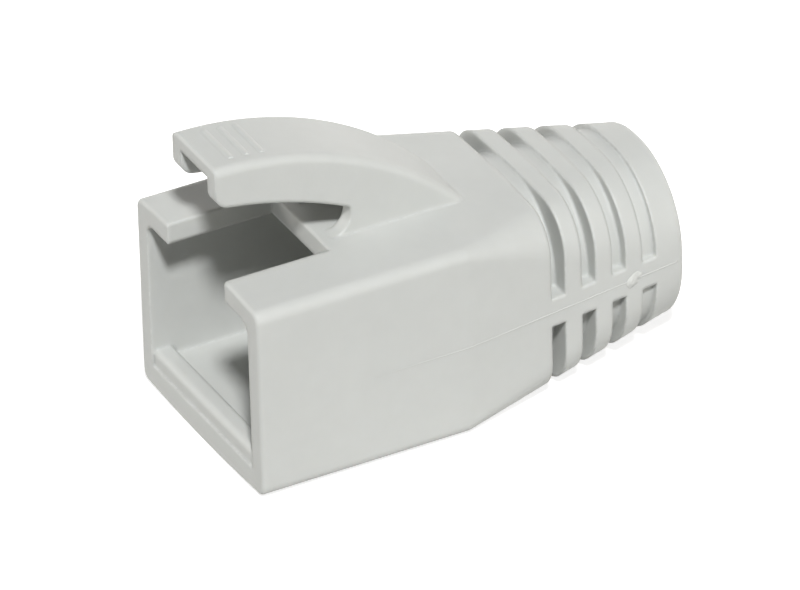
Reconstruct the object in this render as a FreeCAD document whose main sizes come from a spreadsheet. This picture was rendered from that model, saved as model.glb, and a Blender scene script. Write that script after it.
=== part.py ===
"""RJ45 strain relief boot: one moulded piece with a plug socket, an arched latch guard and a slotted,
flexible cable tail.

Frame: X is the width, Y runs from the open mouth (-Y) to the cable tail (+Y), Z is up. The origin is
at the middle of the footprint, on the surface that the boot stands on. All sizes are millimetres, and
places along the boot are measured back from the mouth plane.
"""

import FreeCAD, Part

import math
import os

import Sketcher

NODE = "boot"

# Edges to be rounded are found by the boxes round them.
CLOSE = 0.01  # an edge this near to a plane or a point lies on it
LONG = 1.0  # an edge longer than this runs across a wall or along it

# The sizes that can be set: the name of the cell, its value and what it measures.
SIZES = [
    ("total_length", 26.8, "mouth plane to the end of the tail"),
    ("body_width", 14.0, "outside width of the straight part"),
    ("body_top", 11.92, "height of the roof at its middle"),
    ("straight_length", 12.6, "length of the straight part"),
    ("body_corner_radius", 0.65, "long outside corners of the straight part"),
    ("crown_radius", 100.0, "slight bulge of the roof and the base"),
    ("parting_height", 5.7, "height of the mould's parting plane and of the cable axis"),
    ("tail_width", 10.1, "outside width at the end of the tail"),
    ("tail_height", 10.7, "outside height at the end of the tail"),
    ("tail_corner_radius", 4.8, "outside corners at the end of the tail"),
    ("tail_rounding", 0.35, "rounding of the outer edge at the end of the tail"),
    ("tail_land", 0.4, "length of the last untapered stretch, which carries that rounding"),
    ("mouth_rounding", 0.2, "rounding of the outer edge around the mouth"),
    ("slot_start", 18.0, "front edge of the first bending slot"),
    ("slot_pitch", 2.01, "distance from one bending slot to the next"),
    ("slot_width", 0.92, "width of one bending slot along Y"),
    ("slot_count", 4, "number of bending slots in each half of the tail"),
    ("spine_height", 1.72, "height of the side spines that join the tail's rings"),
    ("core_width", 9.9, "outside width of the sleeve inside the rings"),
    ("slot_crown_depth", 0.16, "depth of the slots at the middle of the top and of the base"),
    ("core_corner_radius", 4.3, "outside corners of that sleeve"),
    ("socket_width", 11.7, "inside width of the plug socket"),
    ("socket_floor", 1.88, "height of the socket's floor"),
    ("socket_depth", 13.2, "depth of the socket"),
    ("socket_corner_radius", 0.8, "upper inside corners of the socket"),
    ("roof_thickness", 1.3, "thickness of the roof over the socket"),
    ("lip_height", 1.54, "height of the lip in front of the retaining bar"),
    ("lip_depth", 0.14, "depth of that lip"),
    ("bar_height", 0.58, "height of the retaining bar above the floor"),
    ("bar_depth", 1.2, "retaining bar, front to back"),
    ("bar_rounding", 0.35, "rounding of the retaining bar's upper edges"),
    ("bore_diameter", 8.0, "cable bore"),
    ("bore_bevel", 0.3, "bevel where the cable leaves the tail"),
    ("throat_diameter", 8.7, "wide end of the cone between the socket and the bore"),
    ("throat_length", 3.4, "length of that cone"),
    ("latch_slot_width", 6.6, "width of the slot in the roof for the plug's latch"),
    ("latch_slot_length", 6.25, "length of that slot"),
    ("guard_front", 0.1, "front of the latch guard"),
    ("guard_top", 18.2, "highest point of the guard"),
    ("guard_radius", 19.9, "radius of the guard's back in the side view"),
    ("guard_crest", 0.3, "place of the guard's highest point"),
    ("guard_width", 4.9, "width of the guard"),
    ("guard_edge_radius", 0.45, "rounding along both upper edges of the guard"),
    ("guard_nose_bevel", 0.14, "bevel on the guard's upper front edge"),
    ("guard_plate", 0.8, "thickness of the guard's arched plate"),
    ("skirt_front_height", 15.85, "height of the skirts' lower edge at the front"),
    ("skirt_edge_radius", 24.0, "radius of the skirts' lower edge in the side view"),
    ("skirt_corner_radius", 0.85, "front lower corners of the skirts"),
    ("gap_end", 8.05, "end of the finger gap under the skirts"),
    ("gap_wall_height", 0.4, "upright wall at the end of that gap, above the foot's fillet"),
    ("gap_corner_radius", 0.3, "upper corner at the end of that gap"),
    ("foot_fillet", 1.2, "fillet between the guard's foot and the roof"),
    ("channel_width", 3.1, "width of the channel inside the guard"),
    ("channel_end", 12.0, "end of that channel"),
    ("rib_count", 3, "number of finger ribs across the front of the guard"),
    ("rib_length", 3.2, "length of a finger rib"),
    ("rib_radius", 0.3, "radius of a finger rib's section"),
    ("rib_rise", 0.07, "height of a finger rib above the guard"),
    ("rib_start", 1.5, "place of the first finger rib"),
    ("rib_pitch", 0.93, "distance from one finger rib to the next"),
    ("overrun", 1.0, "how far a cutting shape runs past the faces that it opens"),
    ("sink", 0.6, "how far the guard's foot and the retaining bar reach into the wall under them"),
]

# Sizes that follow from the others.
DERIVED = [
    ("base", "=0 * body_top"),
    ("mouth", "=0 * total_length"),
    ("tail_top", "=parting_height + tail_height / 2"),
    ("tail_bottom", "=parting_height - tail_height / 2"),
    ("core_start", "=slot_start - overrun"),
    ("core_end", "=total_length + overrun"),
    ("taper_end", "=total_length - tail_land"),
    ("taper_length", "=taper_end - straight_length"),
    ("top_slope", "=(tail_top - body_top) / taper_length"),
    ("base_slope", "=(tail_bottom - base) / taper_length"),
    ("core_front_top", "=body_top + top_slope * (core_start - straight_length) - slot_crown_depth"),
    ("core_front_bottom", "=base + base_slope * (core_start - straight_length) + slot_crown_depth"),
    ("core_rear_top", "=body_top + top_slope * (core_end - straight_length) - slot_crown_depth"),
    ("core_rear_bottom", "=base + base_slope * (core_end - straight_length) + slot_crown_depth"),
    ("socket_ceiling", "=body_top - roof_thickness"),
    ("bar_top", "=socket_floor + bar_height"),
    ("bar_end", "=lip_depth + bar_depth"),
    ("throat_end", "=socket_depth + throat_length"),
    ("foot_level", "=body_top - sink"),
    ("foot_fillet_level", "=body_top + foot_fillet"),
    ("foot_toe", "=gap_end - foot_fillet"),
    ("skirt_rear_height", "=foot_fillet_level + gap_wall_height"),
    ("guard_centre", "=guard_top - guard_radius"),
    ("guard_tail", "=guard_crest + sqrt(guard_radius ^ 2 - (foot_level - guard_centre) ^ 2)"),
    ("channel_radius", "=guard_radius - guard_plate"),
    ("rib_path", "=guard_radius + rib_rise - rib_radius"),
    ("rib_across", "=rib_start - guard_crest"),
    ("rib_up", "=sqrt(rib_path ^ 2 - rib_across ^ 2)"),
    ("rib_sweep", "=(rib_count - 1) * rib_pitch / guard_radius * 180 / pi"),
    ("slot_cut_top", "=body_top + overrun"),
]

doc = FreeCAD.newDocument("strain_relief_boot")

sheet = doc.addObject("Spreadsheet::Sheet", "sheet")
for row, (name, value, meaning) in enumerate(SIZES, start=1):
    sheet.set(f"A{row}", meaning)
    sheet.set(f"B{row}", str(value))
    sheet.setAlias(f"B{row}", name)
for row, (name, formula) in enumerate(DERIVED, start=len(SIZES) + 2):
    sheet.set(f"B{row}", formula)
    sheet.setAlias(f"B{row}", name)
doc.recompute()


def size(name):
    return float(sheet.get(name))


def bind(item, prop, expression):
    item.setExpression(prop, expression)


def new_body(name):
    return doc.addObject("PartDesign::Body", name)


def add(body, kind, name):
    return body.newObject(f"PartDesign::{kind}", name)


def new_sketch(body, name, role):
    """An empty sketch on one of the body's own origin planes."""
    sketch = body.newObject("Sketcher::SketchObject", name)
    plane = next(item for item in body.Origin.OriginFeatures if item.Role == role)
    sketch.AttachmentSupport = [(plane, "")]
    sketch.MapMode = "FlatFace"
    return sketch


def cross_sketch(body, name, place):
    """A sketch across the boot, at a named place back from the mouth. Its axes are X and Z."""
    sketch = new_sketch(body, name, "XZ_Plane")
    bind(sketch, "AttachmentOffset.Base.z", f"sheet.total_length / 2 - sheet.{place}")
    return sketch


def side_sketch(body, name):
    """A sketch in the boot's middle plane, with its origin at the mouth. Its axes are Y and Z."""
    sketch = new_sketch(body, name, "YZ_Plane")
    bind(sketch, "AttachmentOffset.Base.x", "-sheet.total_length / 2")
    return sketch


def fix(sketch, kind, *geometry):
    return sketch.addConstraint(Sketcher.Constraint(kind, *geometry))


def drive(sketch, name, expression, kind, *geometry):
    """Adds a dimension, names it and binds it to the sheet."""
    index = fix(sketch, kind, *geometry)
    sketch.renameConstraint(index, name)
    bind(sketch, f"Constraints.{name}", expression)


def arc(across, up, radius, start, end):
    circle = Part.Circle(FreeCAD.Vector(across, up, 0), FreeCAD.Vector(0, 0, 1), radius)
    return Part.ArcOfCircle(circle, start, end)


def line(start, end):
    return Part.LineSegment(FreeCAD.Vector(*start, 0), FreeCAD.Vector(*end, 0))


def crowned_section(body, name, place, width, top, bottom, radius):
    """A closed outline across the boot: upright sides, rounded corners, bulging top and base.

    Every such outline has the same eight pieces in the same order, so that a loft pairs them.
    """
    half = size(width) / 2
    corner = size(radius)
    crown = size("crown_radius")
    reach = math.sqrt((crown - corner) ** 2 - (half - corner) ** 2)
    lean = math.atan2(half - corner, reach)
    top_centre = size(top) - crown
    base_centre = size(bottom) + crown
    upper = top_centre + reach
    lower = base_centre - reach
    quarter = math.pi / 2
    sketch = cross_sketch(body, name, place)
    sketch.addGeometry([
        line((half, lower), (half, upper)),
        arc(half - corner, upper, corner, 0, quarter - lean),
        arc(0, top_centre, crown, quarter - lean, quarter + lean),
        arc(corner - half, upper, corner, quarter + lean, 2 * quarter),
        line((-half, upper), (-half, lower)),
        arc(corner - half, lower, corner, 2 * quarter, 3 * quarter - lean),
        arc(0, base_centre, crown, 3 * quarter - lean, 3 * quarter + lean),
        arc(half - corner, lower, corner, 3 * quarter + lean, 4 * quarter),
    ])
    for piece in range(8):
        fix(sketch, "Tangent", piece, 2, (piece + 1) % 8, 1)
    fix(sketch, "Vertical", 0)
    fix(sketch, "Vertical", 4)
    for other in (3, 5, 7):
        fix(sketch, "Equal", 1, other)
    fix(sketch, "Equal", 2, 6)
    fix(sketch, "PointOnObject", 2, 3, -2)
    fix(sketch, "PointOnObject", 6, 3, -2)
    drive(sketch, "corner", f"sheet.{radius}", "Radius", 1, corner)
    drive(sketch, "crown", "sheet.crown_radius", "Radius", 2, crown)
    drive(sketch, "right", f"sheet.{width} / 2", "DistanceX", -1, 1, 0, 1, half)
    drive(sketch, "left", f"sheet.{width} / 2", "DistanceX", 4, 1, -1, 1, half)
    drive(sketch, "above", f"sheet.{top} - sheet.crown_radius", "DistanceY", -1, 1, 2, 3, top_centre)
    drive(sketch, "below", f"sheet.{bottom} + sheet.crown_radius", "DistanceY", -1, 1, 6, 3, base_centre)
    return sketch


def rectangle(sketch, low, high, low_expressions, high_expressions):
    """A rectangle between two corners, each corner bound to a pair of expressions."""
    (x0, y0), (x1, y1) = low, high
    sketch.addGeometry([
        line((x0, y0), (x1, y0)),
        line((x1, y0), (x1, y1)),
        line((x1, y1), (x0, y1)),
        line((x0, y1), (x0, y0)),
    ])
    for piece in range(4):
        fix(sketch, "Coincident", piece, 2, (piece + 1) % 4, 1)
    fix(sketch, "Horizontal", 0)
    fix(sketch, "Vertical", 1)
    fix(sketch, "Horizontal", 2)
    fix(sketch, "Vertical", 3)
    drive(sketch, "low_across", low_expressions[0], "DistanceX", -1, 1, 0, 1, x0)
    drive(sketch, "low_up", low_expressions[1], "DistanceY", -1, 1, 0, 1, y0)
    drive(sketch, "high_across", high_expressions[0], "DistanceX", -1, 1, 2, 1, x1)
    drive(sketch, "high_up", high_expressions[1], "DistanceY", -1, 1, 2, 1, y1)


def pad_back(body, name, sketch, expression):
    """A pad from a sketch across the boot towards the tail."""
    pad = add(body, "Pad", name)
    pad.Profile = sketch
    pad.Reversed = True
    bind(pad, "Length", expression)
    return pad


def pad_both(body, name, sketch, expression):
    """A pad from a side sketch, half its length to each side of the middle plane."""
    pad = add(body, "Pad", name)
    pad.Profile = sketch
    pad.Midplane = True
    bind(pad, "Length", expression)
    return pad


def ruled_loft(body, kind, name, front, rear):
    loft = add(body, kind, name)
    loft.Profile = front
    loft.Sections = [rear]
    loft.Ruled = True
    return loft


def edges_where(shape, test):
    """Names of the edges that pass a test."""
    return [f"Edge{number}" for number, edge in enumerate(shape.Edges, start=1) if test(edge)]


def finish_body(body, feature):
    body.Tip = feature
    doc.recompute()


# Outer form: a straight box with upright sides and a slightly bulging roof and base, drawn down to the
# round tail.
outer = new_body("outer_form")
mouth_section = crowned_section(
    outer, "mouth_section", "mouth", "body_width", "body_top", "base", "body_corner_radius"
)
straight = pad_back(outer, "straight_part", mouth_section, "sheet.straight_length")
shoulder_section = crowned_section(
    outer, "shoulder_section", "straight_length", "body_width", "body_top", "base", "body_corner_radius"
)
tail_section = crowned_section(
    outer, "tail_section", "taper_end", "tail_width", "tail_top", "tail_bottom", "tail_corner_radius"
)
taper = ruled_loft(outer, "AdditiveLoft", "tapered_tail", shoulder_section, tail_section)
finish_body(outer, taper)
land_section = crowned_section(
    outer, "land_section", "taper_end", "tail_width", "tail_top", "tail_bottom", "tail_corner_radius"
)
tail = pad_back(outer, "tail_land", land_section, "sheet.tail_land")
finish_body(outer, tail)

mouth_plane = -size("total_length") / 2
mouth_edge = add(outer, "Fillet", "mouth_edge")
mouth_edge.Base = (tail, edges_where(tail.Shape, lambda edge: edge.BoundBox.YMax < mouth_plane + CLOSE))
bind(mouth_edge, "Radius", "sheet.mouth_rounding")
finish_body(outer, mouth_edge)

tail_end = size("total_length") / 2
tail_edge = add(outer, "Fillet", "tail_edge")
tail_edge.Base = (
    mouth_edge,
    edges_where(mouth_edge.Shape, lambda edge: edge.BoundBox.YMin > tail_end - CLOSE),
)
bind(tail_edge, "Radius", "sheet.tail_rounding")
finish_body(outer, tail_edge)

# Bending slots: four slabs through the tail, less the inner sleeve and less the side spines.
slots = new_body("bending_slots")
slab_sketch = side_sketch(slots, "slab_sketch")
rectangle(
    slab_sketch,
    (size("slot_start"), -size("overrun")),
    (size("slot_start") + size("slot_width"), size("body_top") + size("overrun")),
    ("sheet.slot_start", "-sheet.overrun"),
    ("sheet.slot_start + sheet.slot_width", "sheet.body_top + sheet.overrun"),
)
slab = pad_both(slots, "slab", slab_sketch, "sheet.body_width + 2 * sheet.overrun")
slab_row = add(slots, "LinearPattern", "slab_row")
slab_row.Originals = [slab]
slab_row.Direction = (slab_sketch, ["H_Axis"])
bind(slab_row, "Length", "sheet.slot_pitch * (sheet.slot_count - 1)")
bind(slab_row, "Occurrences", "sheet.slot_count")
finish_body(slots, slab_row)

core_front = crowned_section(
    slots, "core_front", "core_start", "core_width", "core_front_top", "core_front_bottom",
    "core_corner_radius",
)
core_rear = crowned_section(
    slots, "core_rear", "core_end", "core_width", "core_rear_top", "core_rear_bottom",
    "core_corner_radius",
)
sleeve = ruled_loft(slots, "SubtractiveLoft", "inner_sleeve", core_front, core_rear)
finish_body(slots, sleeve)

spine_sketch = side_sketch(slots, "spine_sketch")
half_spine = size("spine_height") / 2
rectangle(
    spine_sketch,
    (size("core_start"), size("parting_height") - half_spine),
    (size("core_end"), size("parting_height") + half_spine),
    ("sheet.core_start", "sheet.parting_height - sheet.spine_height / 2"),
    ("sheet.core_end", "sheet.parting_height + sheet.spine_height / 2"),
)
spines = add(slots, "Pocket", "side_spines")
spines.Profile = spine_sketch
spines.Midplane = True
spines.Type = "Length"
bind(spines, "Length", "sheet.body_width + 4 * sheet.overrun")
finish_body(slots, spines)

# Hollow: the plug socket and its lip, the latch slot, the throat and the cable bore.
hollow = new_body("hollow")
half_socket = size("socket_width") / 2
socket_sketch = cross_sketch(hollow, "socket_sketch", "mouth")
rectangle(
    socket_sketch,
    (-half_socket, size("socket_floor")),
    (half_socket, size("socket_ceiling")),
    ("-sheet.socket_width / 2", "sheet.socket_floor"),
    ("sheet.socket_width / 2", "sheet.socket_ceiling"),
)
socket = pad_back(hollow, "socket", socket_sketch, "sheet.socket_depth")
finish_body(hollow, socket)

ceiling = size("socket_ceiling")
socket_corners = add(hollow, "Fillet", "socket_corners")
socket_corners.Base = (
    socket,
    edges_where(
        socket.Shape,
        lambda edge: edge.BoundBox.YLength > LONG and edge.BoundBox.ZMin > ceiling - CLOSE,
    ),
)
bind(socket_corners, "Radius", "sheet.socket_corner_radius")
finish_body(hollow, socket_corners)

# The floor drops to the lip in front of the retaining bar.
lip_sketch = cross_sketch(hollow, "lip_sketch", "mouth")
rectangle(
    lip_sketch,
    (-half_socket, size("lip_height")),
    (half_socket, size("parting_height")),
    ("-sheet.socket_width / 2", "sheet.lip_height"),
    ("sheet.socket_width / 2", "sheet.parting_height"),
)
lip = pad_back(hollow, "lip", lip_sketch, "sheet.lip_depth")
finish_body(hollow, lip)

latch_sketch = cross_sketch(hollow, "latch_sketch", "mouth")
rectangle(
    latch_sketch,
    (-size("latch_slot_width") / 2, size("parting_height")),
    (size("latch_slot_width") / 2, size("slot_cut_top")),
    ("-sheet.latch_slot_width / 2", "sheet.parting_height"),
    ("sheet.latch_slot_width / 2", "sheet.slot_cut_top"),
)
latch_slot = pad_back(hollow, "latch_slot", latch_sketch, "sheet.latch_slot_length")
finish_body(hollow, latch_slot)

bore_sketch = side_sketch(hollow, "bore_sketch")
bind(bore_sketch, "AttachmentOffset.Base.y", "sheet.parting_height")
bore_start = size("socket_depth") - size("overrun")
bore_end = size("total_length")
bore_radius = size("bore_diameter") / 2
bevel_radius = bore_radius + size("bore_bevel")
throat_radius = size("throat_diameter") / 2
bore_corners = [
    (bore_start, 0),
    (bore_end, 0),
    (bore_end, bevel_radius),
    (bore_end - size("bore_bevel"), bore_radius),
    (size("throat_end"), bore_radius),
    (size("socket_depth"), throat_radius),
    (bore_start, throat_radius),
]
bore_bounds = [
    ("sheet.socket_depth - sheet.overrun", None),
    ("sheet.total_length", None),
    (None, "sheet.bore_diameter / 2 + sheet.bore_bevel"),
    ("sheet.total_length - sheet.bore_bevel", "sheet.bore_diameter / 2"),
    ("sheet.throat_end", None),
    ("sheet.socket_depth", "sheet.throat_diameter / 2"),
    (None, None),
]
count = len(bore_corners)
bore_sketch.addGeometry([line(bore_corners[n], bore_corners[(n + 1) % count]) for n in range(count)])
for n in range(count):
    fix(bore_sketch, "Coincident", n, 2, (n + 1) % count, 1)
fix(bore_sketch, "PointOnObject", 0, 1, -1)
fix(bore_sketch, "PointOnObject", 1, 1, -1)
fix(bore_sketch, "Vertical", 1)
fix(bore_sketch, "Horizontal", 3)
fix(bore_sketch, "Horizontal", 5)
fix(bore_sketch, "Vertical", 6)
for n, (along, out) in enumerate(bore_bounds):
    if along:
        drive(bore_sketch, f"along_{n}", along, "DistanceX", -1, 1, n, 1, bore_corners[n][0])
    if out:
        drive(bore_sketch, f"out_{n}", out, "DistanceY", -1, 1, n, 1, bore_corners[n][1])
bore = add(hollow, "Revolution", "cable_bore")
bore.Profile = bore_sketch
bore.ReferenceAxis = (bore_sketch, ["H_Axis"])
bore.Angle = 360
finish_body(hollow, bore)

# Retaining bar: a low rounded bar across the socket's floor, just inside the lip.
bar = new_body("retaining_bar")
bar_sketch = side_sketch(bar, "bar_sketch")
rectangle(
    bar_sketch,
    (size("lip_depth"), size("socket_floor") - size("sink")),
    (size("bar_end"), size("bar_top")),
    ("sheet.lip_depth", "sheet.socket_floor - sheet.sink"),
    ("sheet.bar_end", "sheet.bar_top"),
)
bar_pad = pad_both(bar, "bar", bar_sketch, "sheet.socket_width + 2 * sheet.sink")
finish_body(bar, bar_pad)
bar_top = size("bar_top")
bar_edges = add(bar, "Fillet", "bar_edges")
bar_edges.Base = (
    bar_pad,
    edges_where(
        bar_pad.Shape,
        lambda edge: edge.BoundBox.XLength > LONG and edge.BoundBox.ZMin > bar_top - CLOSE,
    ),
)
bind(bar_edges, "Radius", "sheet.bar_rounding")
finish_body(bar, bar_edges)

# Latch guard: an arched, downward-opening channel that springs from the roof over the latch slot.
guard = new_body("latch_guard")
front = size("guard_front")
crest = size("guard_crest")
centre = size("guard_centre")
back_radius = size("guard_radius")
foot = size("foot_level")
roof = size("body_top")
toe = size("foot_toe")
gap_end = size("gap_end")
fillet = size("foot_fillet")
front_low = size("skirt_front_height")
rear_low = size("skirt_rear_height")
edge_radius = size("skirt_edge_radius")

front_high = centre + math.sqrt(back_radius**2 - (front - crest) ** 2)
tail_point = size("guard_tail")
chord = math.hypot(gap_end - front, rear_low - front_low)
depth = math.sqrt(edge_radius**2 - (chord / 2) ** 2)
edge_centre = (
    (front + gap_end) / 2 + depth * (rear_low - front_low) / chord,
    (front_low + rear_low) / 2 - depth * (gap_end - front) / chord,
)


def bearing(from_point, to_point):
    return math.atan2(to_point[1] - from_point[1], to_point[0] - from_point[0])


guard_sketch = side_sketch(guard, "guard_sketch")
middle = (crest, centre)
guard_sketch.addGeometry([
    arc(*middle, back_radius, bearing(middle, (tail_point, foot)), bearing(middle, (front, front_high))),
    line((front, front_high), (front, front_low)),
    arc(
        *edge_centre, edge_radius, bearing(edge_centre, (gap_end, rear_low)),
        bearing(edge_centre, (front, front_low)),
    ),
    line((gap_end, rear_low), (gap_end, roof + fillet)),
    arc(toe, roof + fillet, fillet, -math.pi / 2, 0),
    line((toe, roof), (toe, foot)),
    line((toe, foot), (tail_point, foot)),
])
fix(guard_sketch, "Coincident", 0, 2, 1, 1)
fix(guard_sketch, "Coincident", 1, 2, 2, 2)
fix(guard_sketch, "Coincident", 2, 1, 3, 1)
fix(guard_sketch, "Tangent", 3, 2, 4, 2)
fix(guard_sketch, "Coincident", 4, 1, 5, 1)
fix(guard_sketch, "Coincident", 5, 2, 6, 1)
fix(guard_sketch, "Coincident", 6, 2, 0, 1)
fix(guard_sketch, "Vertical", 1)
fix(guard_sketch, "Vertical", 3)
fix(guard_sketch, "Vertical", 5)
fix(guard_sketch, "Horizontal", 6)
fix(guard_sketch, "Vertical", 4, 3, 4, 1)
drive(guard_sketch, "back_radius", "sheet.guard_radius", "Radius", 0, back_radius)
drive(guard_sketch, "crest", "sheet.guard_crest", "DistanceX", -1, 1, 0, 3, crest)
drive(guard_sketch, "centre", "sheet.guard_centre", "DistanceY", -1, 1, 0, 3, centre)
drive(guard_sketch, "front", "sheet.guard_front", "DistanceX", -1, 1, 1, 1, front)
drive(guard_sketch, "front_low", "sheet.skirt_front_height", "DistanceY", -1, 1, 1, 2, front_low)
drive(guard_sketch, "edge_radius", "sheet.skirt_edge_radius", "Radius", 2, edge_radius)
drive(guard_sketch, "gap_end", "sheet.gap_end", "DistanceX", -1, 1, 3, 1, gap_end)
drive(guard_sketch, "rear_low", "sheet.skirt_rear_height", "DistanceY", -1, 1, 3, 1, rear_low)
drive(guard_sketch, "foot_fillet", "sheet.foot_fillet", "Radius", 4, fillet)
drive(guard_sketch, "fillet_level", "sheet.foot_fillet_level", "DistanceY", -1, 1, 3, 2, roof + fillet)
drive(guard_sketch, "foot_level", "sheet.foot_level", "DistanceY", -1, 1, 6, 1, foot)
arch = pad_both(guard, "arch", guard_sketch, "sheet.guard_width")
finish_body(guard, arch)


def across_edge(place, height):
    """Names of the guard's edges that run across it at a place and a height."""
    target = FreeCAD.Vector(0, place - size("total_length") / 2, height)
    return edges_where(
        guard.Shape,
        lambda edge: edge.BoundBox.XLength > LONG and (edge.CenterOfMass - target).Length < CLOSE,
    )


for name, place, height, radius in (
    ("skirt_corner", front, front_low, "skirt_corner_radius"),
    ("gap_corner", gap_end, rear_low, "gap_corner_radius"),
):
    before = guard.Tip
    rounding = add(guard, "Fillet", name)
    rounding.Base = (before, across_edge(place, height))
    bind(rounding, "Radius", f"sheet.{radius}")
    finish_body(guard, rounding)

rounded_arch = guard.Tip
nose = add(guard, "Chamfer", "guard_nose")
nose.Base = (rounded_arch, across_edge(front, front_high))
bind(nose, "Size", "sheet.guard_nose_bevel")
finish_body(guard, nose)

guard_length = size("guard_tail") - front
upper_edges = add(guard, "Fillet", "upper_edges")
upper_edges.Base = (
    nose,
    edges_where(
        nose.Shape,
        lambda edge: edge.BoundBox.YLength > guard_length - LONG and edge.BoundBox.ZLength > LONG,
    ),
)
bind(upper_edges, "Radius", "sheet.guard_edge_radius")
finish_body(guard, upper_edges)

channel_radius = size("channel_radius")
channel_end = size("channel_end")
channel_front = front - size("overrun")
channel_base = foot - size("overrun")
front_point = (channel_front, centre + math.sqrt(channel_radius**2 - (channel_front - crest) ** 2))
end_point = (channel_end, centre + math.sqrt(channel_radius**2 - (channel_end - crest) ** 2))
channel_sketch = side_sketch(guard, "channel_sketch")
channel_sketch.addGeometry([
    arc(*middle, channel_radius, bearing(middle, end_point), bearing(middle, front_point)),
    line(front_point, (channel_front, channel_base)),
    line((channel_front, channel_base), (channel_end, channel_base)),
    line((channel_end, channel_base), end_point),
])
fix(channel_sketch, "Coincident", 0, 2, 1, 1)
fix(channel_sketch, "Coincident", 1, 2, 2, 1)
fix(channel_sketch, "Coincident", 2, 2, 3, 1)
fix(channel_sketch, "Coincident", 3, 2, 0, 1)
fix(channel_sketch, "Vertical", 1)
fix(channel_sketch, "Horizontal", 2)
fix(channel_sketch, "Vertical", 3)
drive(channel_sketch, "radius", "sheet.channel_radius", "Radius", 0, channel_radius)
drive(channel_sketch, "crest", "sheet.guard_crest", "DistanceX", -1, 1, 0, 3, crest)
drive(channel_sketch, "centre", "sheet.guard_centre", "DistanceY", -1, 1, 0, 3, centre)
drive(channel_sketch, "front", "sheet.guard_front - sheet.overrun", "DistanceX", -1, 1, 1, 1, channel_front)
drive(channel_sketch, "end", "sheet.channel_end", "DistanceX", -1, 1, 3, 1, channel_end)
drive(channel_sketch, "base", "sheet.foot_level - sheet.overrun", "DistanceY", -1, 1, 2, 1, channel_base)
channel = add(guard, "Pocket", "channel")
channel.Profile = channel_sketch
channel.Midplane = True
channel.Type = "Length"
bind(channel, "Length", "sheet.channel_width")
finish_body(guard, channel)

# Finger ribs: low round ribs across the guard, spaced round the centre of its arched back.
rib_sketch = new_sketch(guard, "rib_sketch", "YZ_Plane")
bind(rib_sketch, "AttachmentOffset.Base.x", "sheet.guard_crest - sheet.total_length / 2")
bind(rib_sketch, "AttachmentOffset.Base.y", "sheet.guard_centre")
rib_circle = Part.Circle(
    FreeCAD.Vector(size("rib_across"), size("rib_up"), 0), FreeCAD.Vector(0, 0, 1), size("rib_radius")
)
rib_sketch.addGeometry([rib_circle])
drive(rib_sketch, "radius", "sheet.rib_radius", "Radius", 0, size("rib_radius"))
drive(rib_sketch, "across", "sheet.rib_across", "DistanceX", -1, 1, 0, 3, size("rib_across"))
drive(rib_sketch, "up", "sheet.rib_up", "DistanceY", -1, 1, 0, 3, size("rib_up"))
rib = pad_both(guard, "finger_rib", rib_sketch, "sheet.rib_length")
finish_body(guard, rib)
ribs = add(guard, "PolarPattern", "finger_ribs")
ribs.Originals = [rib]
ribs.Axis = (rib_sketch, ["N_Axis"])
ribs.Reversed = True
bind(ribs, "Angle", "sheet.rib_sweep")
bind(ribs, "Occurrences", "sheet.rib_count")
finish_body(guard, ribs)

# The whole boot: the outer form with the guard on it, less the slots and the hollow, plus the bar.
skin = doc.addObject("Part::Fuse", "skin")
skin.Base = outer
skin.Tool = guard
cutters = doc.addObject("Part::MultiFuse", "cutters")
cutters.Shapes = [slots, hollow]
shell = doc.addObject("Part::Cut", "shell")
shell.Base = skin
shell.Tool = cutters
boot = doc.addObject("Part::Fuse", "boot")
boot.Base = shell
boot.Tool = bar
boot.Refine = True
boot.Label = NODE
doc.recompute()

for item in doc.Objects:
    faults = [state for state in item.State if state in ("Invalid", "Error")]
    if faults:
        raise RuntimeError(f"{item.Name} is {faults}")
if boot.Shape.isNull() or not boot.Shape.isValid() or len(boot.Shape.Solids) != 1:
    raise RuntimeError("the boot is not one valid solid")
print(f"{NODE}: {boot.Shape.Volume:.1f} cubic millimetres, {len(boot.Shape.Faces)} faces")

os.makedirs("parts", exist_ok=True)
boot.Shape.exportStep(f"parts/{NODE}.step")
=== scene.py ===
"""The looks of an rj45 strain relief boot: its moulded plastic and mould marks, floor, light and camera."""

import math

import bpy
from mathutils import Matrix, Vector, noise


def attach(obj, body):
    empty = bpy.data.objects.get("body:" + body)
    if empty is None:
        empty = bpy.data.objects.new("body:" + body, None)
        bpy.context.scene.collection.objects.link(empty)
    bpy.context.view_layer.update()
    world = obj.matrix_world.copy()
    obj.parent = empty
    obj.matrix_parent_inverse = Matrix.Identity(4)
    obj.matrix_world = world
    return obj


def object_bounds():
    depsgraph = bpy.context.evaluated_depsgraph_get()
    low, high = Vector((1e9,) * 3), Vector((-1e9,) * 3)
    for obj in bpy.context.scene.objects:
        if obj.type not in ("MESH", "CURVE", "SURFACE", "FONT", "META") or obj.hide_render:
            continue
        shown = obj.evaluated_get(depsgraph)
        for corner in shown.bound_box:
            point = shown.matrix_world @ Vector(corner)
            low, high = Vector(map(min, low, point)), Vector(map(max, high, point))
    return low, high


MM = 0.001

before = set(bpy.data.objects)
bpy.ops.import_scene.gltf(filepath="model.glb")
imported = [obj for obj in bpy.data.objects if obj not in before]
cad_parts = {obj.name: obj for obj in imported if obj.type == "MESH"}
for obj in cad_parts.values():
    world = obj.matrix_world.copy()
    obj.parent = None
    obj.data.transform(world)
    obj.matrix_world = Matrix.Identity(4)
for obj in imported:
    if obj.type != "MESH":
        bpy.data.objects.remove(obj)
cad_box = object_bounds()
LOW, HIGH = (Vector(corner) for corner in cad_box)
MOUTH = LOW.y
TAIL_END = HIGH.y
WHITE = (1.0, 1.0, 1.0, 1.0)


# ---- Node helpers ----

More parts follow.
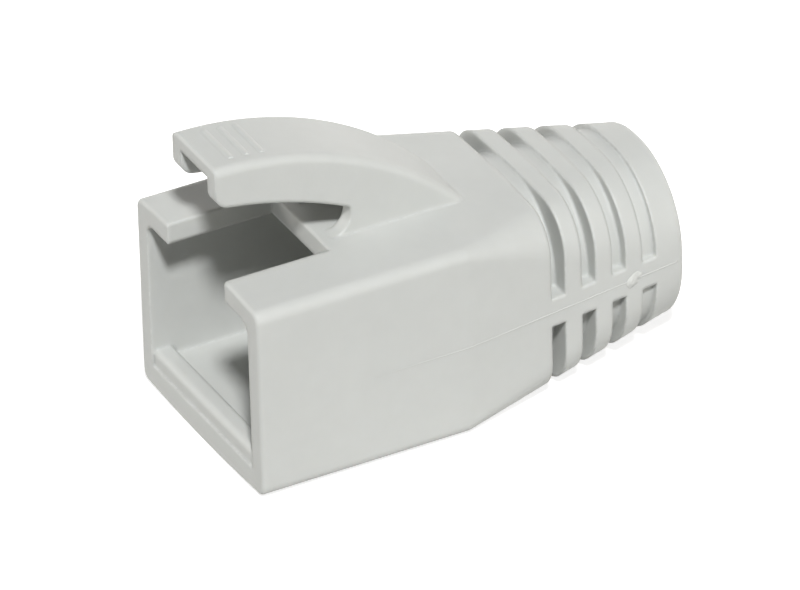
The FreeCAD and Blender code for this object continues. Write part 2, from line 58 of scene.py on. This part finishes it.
def new_material(name):
    """A material whose node tree holds a principled shader, linked to its output, and nothing else."""
    material = bpy.data.materials.new(name)
    material.use_nodes = True
    tree = material.node_tree
    tree.nodes.clear()
    output = tree.nodes.new("ShaderNodeOutputMaterial")
    shader = tree.nodes.new("ShaderNodeBsdfPrincipled")
    tree.links.new(shader.outputs["BSDF"], output.inputs["Surface"])
    return material, tree, shader


def node(tree, kind, inputs=None, **settings):
    """A node of this kind: inputs are plain values or other nodes' outputs, settings its own properties."""
    made = tree.nodes.new(kind)
    for key, value in settings.items():
        setattr(made, key, value)
    for key, value in (inputs or {}).items():
        if isinstance(value, bpy.types.NodeSocket):
            tree.links.new(value, made.inputs[key])
        else:
            made.inputs[key].default_value = value
    return made


def remap(tree, value, span, target):
    """Maps a value from one (low, high) pair to another, clamped at both ends."""
    low, high = span
    to_low, to_high = target
    made = node(tree, "ShaderNodeMapRange", {
        "Value": value, "From Min": low, "From Max": high, "To Min": to_low, "To Max": to_high})
    return made.outputs["Result"]


def maths(tree, operation, first, second=0.0):
    """One arithmetic step on two values."""
    return node(tree, "ShaderNodeMath", {0: first, 1: second}, operation=operation).outputs[0]


def product(tree, first, second, third):
    """Three values multiplied together."""
    return maths(tree, "MULTIPLY", maths(tree, "MULTIPLY", first, second), third)


def texture(tree, place, look):
    """Smooth noise from 0 to 1 all through the part. Its scale is in waves a metre."""
    return node(tree, "ShaderNodeTexNoise", {"Vector": place, **look}).outputs["Fac"]


def shown_directly(tree):
    """1 for rays that show a surround as it is: straight, mirrored or through something. 0 for others."""
    rays = node(tree, "ShaderNodeLightPath")
    seen = maths(tree, "MAXIMUM", rays.outputs["Is Camera Ray"], rays.outputs["Is Glossy Ray"])
    return maths(tree, "MAXIMUM", seen, rays.outputs["Is Transmission Ray"])


# ---- Moulded plastic ----

PLASTIC = (0.54, 0.553, 0.536)
TORN_PLASTIC = (0.56, 0.57, 0.55)
SPECULAR = 0.35
SCATTER_SHARE = 0.35
SCATTER_TINT = (1.0, 0.95, 0.85)
SCATTER_DEPTH = 0.5 * MM

EDGE_RADIUS = 0.32 * MM
FINE_RADIUS = 0.1 * MM
MARK_RADIUS = 0.01 * MM
BEVEL_SAMPLES = 8

# The spans over which the finer edges of the guard's finger ribs blend out: sideways, backwards and down.
RIBS_SIDE = (1.75 * MM, 1.95 * MM)
RIBS_END = MOUTH + 4.2 * MM
RIBS_BACK = (RIBS_END, RIBS_END + 0.3 * MM)
RIBS_LOW = HIGH.z - 0.6 * MM
RIBS_BASE = (RIBS_LOW, RIBS_LOW + 0.1 * MM)

CLOUDS = {"Scale": 160.0, "Detail": 3.0, "Roughness": 0.5}
MOTTLE = {"Scale": 900.0, "Detail": 2.0, "Roughness": 0.6}
FLASH = {"Scale": 2600.0, "Detail": 2.0, "Roughness": 0.6}
GRAIN = {"Scale": 5200.0, "Detail": 2.0, "Roughness": 0.55}
GRAIN_STRENGTH = 0.25
GRAIN_DEPTH = 0.012 * MM

# The cosine of the softened surface's turn, from where an edge starts to show to where it shows fully.
EDGE_TURN = (0.97, 0.75)

# The span of each texture's values that counts, and the tones or roughness that it is mapped to.
CLOUD_SPAN, CLOUD_TONES = (0.35, 0.65), (0.985, 1.012)
MOTTLE_SPAN, MOTTLE_TONES = (0.3, 0.7), (0.99, 1.01)
FLASH_SPAN, FLASH_TONES = (0.4, 0.62), (1.0, 1.14)
GLOSS_SPAN, ROUGHNESS = (0.3, 0.7), (0.46, 0.56)


def edge_radius(tree, place):
    """The softening of edges, which is finer round the guard's low finger ribs."""
    part = node(tree, "ShaderNodeSeparateXYZ", {0: place})
    across = maths(tree, "ABSOLUTE", part.outputs["X"])
    inside = remap(tree, across, RIBS_SIDE, (1.0, 0.0))
    front = remap(tree, part.outputs["Y"], RIBS_BACK, (1.0, 0.0))
    high = remap(tree, part.outputs["Z"], RIBS_BASE, (0.0, 1.0))
    return remap(tree, product(tree, inside, front, high), (0.0, 1.0), (EDGE_RADIUS, FINE_RADIUS))


def unevenness(tree, place, rounded, clouds):
    """The grey's slight unevenness: flow clouds, a finer mottle and pale specks of flash along the edges."""
    face = node(tree, "ShaderNodeNewGeometry").outputs["Normal"]
    aligned = node(tree, "ShaderNodeVectorMath", {0: rounded, 1: face}, operation="DOT_PRODUCT")
    edge = remap(tree, aligned.outputs["Value"], EDGE_TURN, (0.0, 1.0))
    specks = maths(tree, "MULTIPLY", edge, texture(tree, place, FLASH))
    return product(
        tree,
        remap(tree, clouds, CLOUD_SPAN, CLOUD_TONES),
        remap(tree, texture(tree, place, MOTTLE), MOTTLE_SPAN, MOTTLE_TONES),
        remap(tree, specks, FLASH_SPAN, FLASH_TONES))


def moulded_plastic(name, base, softened):
    """Light grey soft plastic with a fine even spark grain, faint flow clouds and uneven gloss.

    Softened plastic, for the boot itself, has well rounded edges and lets a little light spread inside it.
    """
    material, tree, shader = new_material(name)
    place = node(tree, "ShaderNodeTexCoord").outputs["Object"]
    radius = edge_radius(tree, place) if softened else MARK_RADIUS
    rounded = node(tree, "ShaderNodeBevel", {"Radius": radius}, samples=BEVEL_SAMPLES).outputs["Normal"]
    clouds = texture(tree, place, CLOUDS)
    tone = unevenness(tree, place, rounded, clouds)
    colour = node(tree, "ShaderNodeVectorMath", {0: base, "Scale": tone}, operation="SCALE")
    tree.links.new(colour.outputs["Vector"], shader.inputs["Base Color"])
    tree.links.new(remap(tree, clouds, GLOSS_SPAN, ROUGHNESS), shader.inputs["Roughness"])
    shader.inputs["Specular IOR Level"].default_value = SPECULAR
    if softened:
        shader.inputs["Subsurface Weight"].default_value = SCATTER_SHARE
        shader.inputs["Subsurface Radius"].default_value = SCATTER_TINT
        shader.inputs["Subsurface Scale"].default_value = SCATTER_DEPTH

    bump = node(tree, "ShaderNodeBump", {
        "Height": texture(tree, place, GRAIN), "Normal": rounded,
        "Strength": GRAIN_STRENGTH, "Distance": GRAIN_DEPTH})
    tree.links.new(bump.outputs["Normal"], shader.inputs["Normal"])
    return material


def dress(part, material):
    """Gives a part its finish."""
    slots = part.material_slots
    for slot in slots:
        slot.material = material
    if not slots:
        part.data.materials.append(material)


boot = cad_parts["boot"]
plastic = moulded_plastic("moulded_grey", PLASTIC, True)
dress(boot, plastic)
seam = moulded_plastic("seam_grey", PLASTIC, False)
torn = moulded_plastic("torn_grey", TORN_PLASTIC, False)


# ---- Marks of the mould ----

PARTING = 5.7 * MM  # height of the plane where the mould's halves meet
SHOULDER = MOUTH + 12.6 * MM  # where the straight body ends and the taper starts
TAIL_LAND = TAIL_END - 0.4 * MM  # where the taper ends
HALF_BODY = HIGH.x
HALF_TAIL = 5.05 * MM
TAPER = (HALF_TAIL - HALF_BODY) / (TAIL_LAND - SHOULDER)


def half_width(y):
    """Outside half width of the boot at the parting plane."""
    if y <= SHOULDER:
        return HALF_BODY
    if y >= TAIL_LAND:
        return HALF_TAIL
    return HALF_BODY + TAPER * (y - SHOULDER)


def add_piece(name, points, faces, material):
    """Adds a smooth mesh object that rides on the boot."""
    mesh = bpy.data.meshes.new(name)
    mesh.from_pydata(points, [], faces)
    mesh.validate()
    for face in mesh.polygons:
        face.use_smooth = True
    piece = bpy.data.objects.new(name, mesh)
    bpy.context.collection.objects.link(piece)
    dress(piece, material)
    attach(piece, "root")


def parting_line(name, side):
    """The mould's parting line on one side: a fine ridge, full on the tail and fading out along the body."""
    start = SHOULDER - 7.0 * MM
    end = TAIL_LAND - 0.05 * MM
    fade = 12.0 * MM
    steps = 160
    half_thick = 0.075 * MM
    rise = 0.021 * MM
    root = 0.02 * MM
    hidden = 0.1 * root  # how far the crest starts below the surface
    shallow = 0.15  # the share of the root that is there at the start
    crest_low = -0.45  # in half thicknesses
    crest_high = 0.3
    sway = 0.02 * MM
    waves = 0.7  # of the sway, a millimetre
    uneven = 0.35
    sides_apart = 3.0  # in the noise, so that the two sides differ
    points = []
    for step in range(steps + 1):
        y = start + (end - start) * step / steps
        wander = noise.noise(Vector((side * sides_apart, y / MM * waves, 0.0)))
        grown = min(1.0, (y - start) / fade)
        height = rise * grown * (1.0 + uneven * wander) - hidden * (1.0 - grown)
        sunk = root * (shallow + (1.0 - shallow) * grown)
        level = PARTING + sway * wander
        out = half_width(y)
        for across, lift in ((-1.0, -sunk), (crest_low, height), (crest_high, height), (1.0, -sunk)):
            points.append((side * (out + lift), y, level + across * half_thick))
    faces = []
    for step in range(steps):
        for edge in range(4):
            a = step * 4 + edge
            b = step * 4 + (edge + 1) % 4
            faces.append((a, b, b + 4, a + 4))
    last = steps * 4
    faces.append((3, 2, 1, 0))
    faces.append((last, last + 1, last + 2, last + 3))
    if side > 0:
        faces = [tuple(reversed(face)) for face in faces]
    add_piece(name, points, faces, seam)


def hump(along, up, at_along, at_up, radius):
    """A smooth bump, 1 at its middle. Its place and radius are in millimetres on the gate mark."""
    apart = (along / MM - at_along) ** 2 + (up / MM - at_up) ** 2
    return math.exp(-apart / radius ** 2)


def torn_height(along, up, share):
    """Height of the gate mark's torn face, at a share of the way from its middle to its rim."""
    rise = 0.095 * MM
    pit_depth = 0.1 * MM
    lump_size = 0.16 * MM
    lumpiness = 0.5
    base = 0.4  # of the rise, under the lobes
    large_lobe = 0.8 * hump(along, up, -0.18, -0.08, 0.27)
    small_lobe = 0.7 * hump(along, up, 0.34, 0.2, 0.12)
    pit = pit_depth * hump(along, up, 0.3, -0.08, 0.065)
    lumps = noise.noise(Vector((along, up, 0.0)) / lump_size)
    lobes = base + large_lobe + small_lobe
    return rise * (1.0 - share ** 3) * lobes * (1.0 + lumpiness * lumps) - pit


def gate_mark():
    """The small torn stub left where the plastic flowed into the mould, on the side of the third ring."""
    centre_y = MOUTH + 23.45 * MM
    long_half = 0.56 * MM
    short_half = 0.46 * MM
    lean = 0.32  # how much the mark climbs along its length
    root = 0.05 * MM
    rings = 9
    spokes = 32
    raggedness = 0.22
    rim_waves = 1.7
    rim_level = 4.0  # in the noise, away from the torn face's own
    points = [(half_width(centre_y) + torn_height(0.0, 0.0, 0.0), centre_y, PARTING)]
    for ring in range(1, rings + 1):
        share = ring / rings
        for spoke in range(spokes):
            angle = 2 * math.pi * spoke / spokes
            rim_place = Vector((math.cos(angle) * rim_waves, math.sin(angle) * rim_waves, rim_level))
            ragged = 1.0 + raggedness * noise.noise(rim_place)
            along = math.cos(angle) * long_half * share * ragged
            up = math.sin(angle) * short_half * share * ragged + lean * along
            out = torn_height(along, up, share) if ring < rings else -root
            points.append((half_width(centre_y) + TAPER * along + out, centre_y + along, PARTING + up))
    faces = []
    for spoke in range(spokes):
        faces.append((0, 1 + spoke, 1 + (spoke + 1) % spokes))
    for ring in range(rings - 1):
        inner = 1 + ring * spokes
        outer = inner + spokes
        for spoke in range(spokes):
            after = (spoke + 1) % spokes
            faces.append((inner + spoke, outer + spoke, outer + after, inner + after))
    rim = 1 + (rings - 1) * spokes
    faces.append(tuple(rim + spoke for spoke in reversed(range(spokes))))
    add_piece("gate_mark", points, faces, torn)


parting_line("parting_line_right", 1.0)
parting_line("parting_line_left", -1.0)
gate_mark()


# ---- Floor ----

FLOOR_SIZE = 3.0
FLOOR_GAP = 0.01 * MM  # keeps the floor apart from the boot's base
FLOOR_COLOUR = (0.56, 0.555, 0.545, 1.0)
FLOOR_ROUGHNESS = 0.9
FLOOR_GLOW = 0.78


def pale_floor():
    """A plain pale floor that keeps the soft shadow under the part and shows white to the camera."""
    bpy.ops.mesh.primitive_plane_add(size=FLOOR_SIZE, location=(0, 0, LOW.z - FLOOR_GAP))
    floor = bpy.context.object
    floor.name = "floor"
    material, tree, shader = new_material("floor_white")
    shader.inputs["Base Color"].default_value = FLOOR_COLOUR
    shader.inputs["Roughness"].default_value = FLOOR_ROUGHNESS
    shader.inputs["Specular IOR Level"].default_value = 0.0
    strength = maths(tree, "MULTIPLY", shown_directly(tree), FLOOR_GLOW)
    glow = node(tree, "ShaderNodeEmission", {"Color": WHITE, "Strength": strength})
    both = node(tree, "ShaderNodeAddShader", {0: shader.outputs["BSDF"], 1: glow.outputs["Emission"]})
    output = next(n for n in tree.nodes if n.type == "OUTPUT_MATERIAL")
    tree.links.new(both.outputs["Shader"], output.inputs["Surface"])
    floor.data.materials.append(material)


pale_floor()


# ---- Light ----

SURROUND = (0.03, 1.0)  # strength as a light, and as it is seen
KEY_DIRECTION = Vector((2.3, -1.0, 3.0))
KEY_ENERGY = 3.5
KEY_ANGLE = math.radians(7.0)
WARM = (1.0, 0.965, 0.91)
BOX_AIM = Vector((0, 0, 6.0)) * MM
BOX_WIDTH = 0.42
BOX_HEIGHT = 0.15
BOX_DISTANCE = 0.4
BOX_ELEVATION = 12.0


def outward(azimuth, elevation):
    """A direction out from the part, in degrees round from the mouth's side to the right, and upwards."""
    around = math.radians(azimuth)
    above = math.radians(elevation)
    return Vector((
        math.sin(around) * math.cos(above), -math.cos(around) * math.cos(above), math.sin(above)))


def studio_surround():
    """A white surround to the camera and in reflections, and a faint even light otherwise."""
    world = bpy.data.worlds.new("studio")
    bpy.context.scene.world = world
    world.use_nodes = True
    tree = world.node_tree
    tree.nodes.clear()
    output = tree.nodes.new("ShaderNodeOutputWorld")
    strength = remap(tree, shown_directly(tree), (0.0, 1.0), SURROUND)
    surround = node(tree, "ShaderNodeBackground", {"Color": WHITE, "Strength": strength})
    tree.links.new(surround.outputs["Background"], output.inputs["Surface"])


def key_light():
    """The main light, from the part's right, above and a little in front, with soft-edged shadows."""
    lamp = bpy.data.lights.new("key", "SUN")
    lamp.energy = KEY_ENERGY
    lamp.angle = KEY_ANGLE
    carrier = bpy.data.objects.new("key", lamp)
    bpy.context.collection.objects.link(carrier)
    carrier.rotation_euler = KEY_DIRECTION.to_track_quat("Z", "Y").to_euler()


def soft_box(name, azimuth, energy):
    """A large soft lamp, low down on one side."""
    direction = outward(azimuth, BOX_ELEVATION)
    lamp = bpy.data.lights.new(name, "AREA")
    lamp.shape = "RECTANGLE"
    lamp.size = BOX_WIDTH
    lamp.size_y = BOX_HEIGHT
    lamp.color = WARM
    lamp.energy = energy
    carrier = bpy.data.objects.new(name, lamp)
    bpy.context.collection.objects.link(carrier)
    carrier.location = BOX_AIM + direction * BOX_DISTANCE
    carrier.rotation_euler = direction.to_track_quat("Z", "Y").to_euler()


studio_surround()
key_light()
soft_box("fill_front", -42.0, 0.52)
soft_box("fill_left", -135.0, 0.45)
soft_box("fill_rear", 135.0, 0.4)


# ---- Camera ----

VIEW_AZIMUTH = 62.737  # angles in degrees
VIEW_ELEVATION = 32.386
VIEW_ROLL = 1.614
VIEW_DISTANCE = 600.0 * MM
VIEW_AIM = Vector((0.0, -1.4, 6.36)) * MM
SHIFT_RIGHT = 0.1188 * MM  # the camera's own move, which places the part in the picture
SHIFT_DOWN = 0.8188 * MM
SENSOR_WIDTH = 36.0
FOCAL_LENGTH = 503.2
CLIP_START = 0.01


def camera():
    """A long lens from the mouth's right and above, rolled a little, as a catalogue photograph is taken."""
    azimuth = math.radians(VIEW_AZIMUTH)
    roll = math.radians(VIEW_ROLL)
    right = Vector((math.cos(azimuth), math.sin(azimuth), 0))
    back = outward(VIEW_AZIMUTH, VIEW_ELEVATION)
    up = back.cross(right)
    across = right * math.cos(roll) - up * math.sin(roll)
    upright = right * math.sin(roll) + up * math.cos(roll)

    lens = bpy.data.cameras.new("camera")
    lens.sensor_width = SENSOR_WIDTH
    lens.lens = FOCAL_LENGTH
    lens.clip_start = CLIP_START
    carrier = bpy.data.objects.new("camera", lens)
    bpy.context.collection.objects.link(carrier)
    place = VIEW_AIM + back * VIEW_DISTANCE + across * SHIFT_RIGHT - upright * SHIFT_DOWN
    turn = Matrix((across, upright, back)).transposed()
    carrier.matrix_world = Matrix.Translation(place) @ turn.to_4x4()
    bpy.context.scene.camera = carrier


camera()

bpy.context.scene.view_settings.view_transform = "Standard"
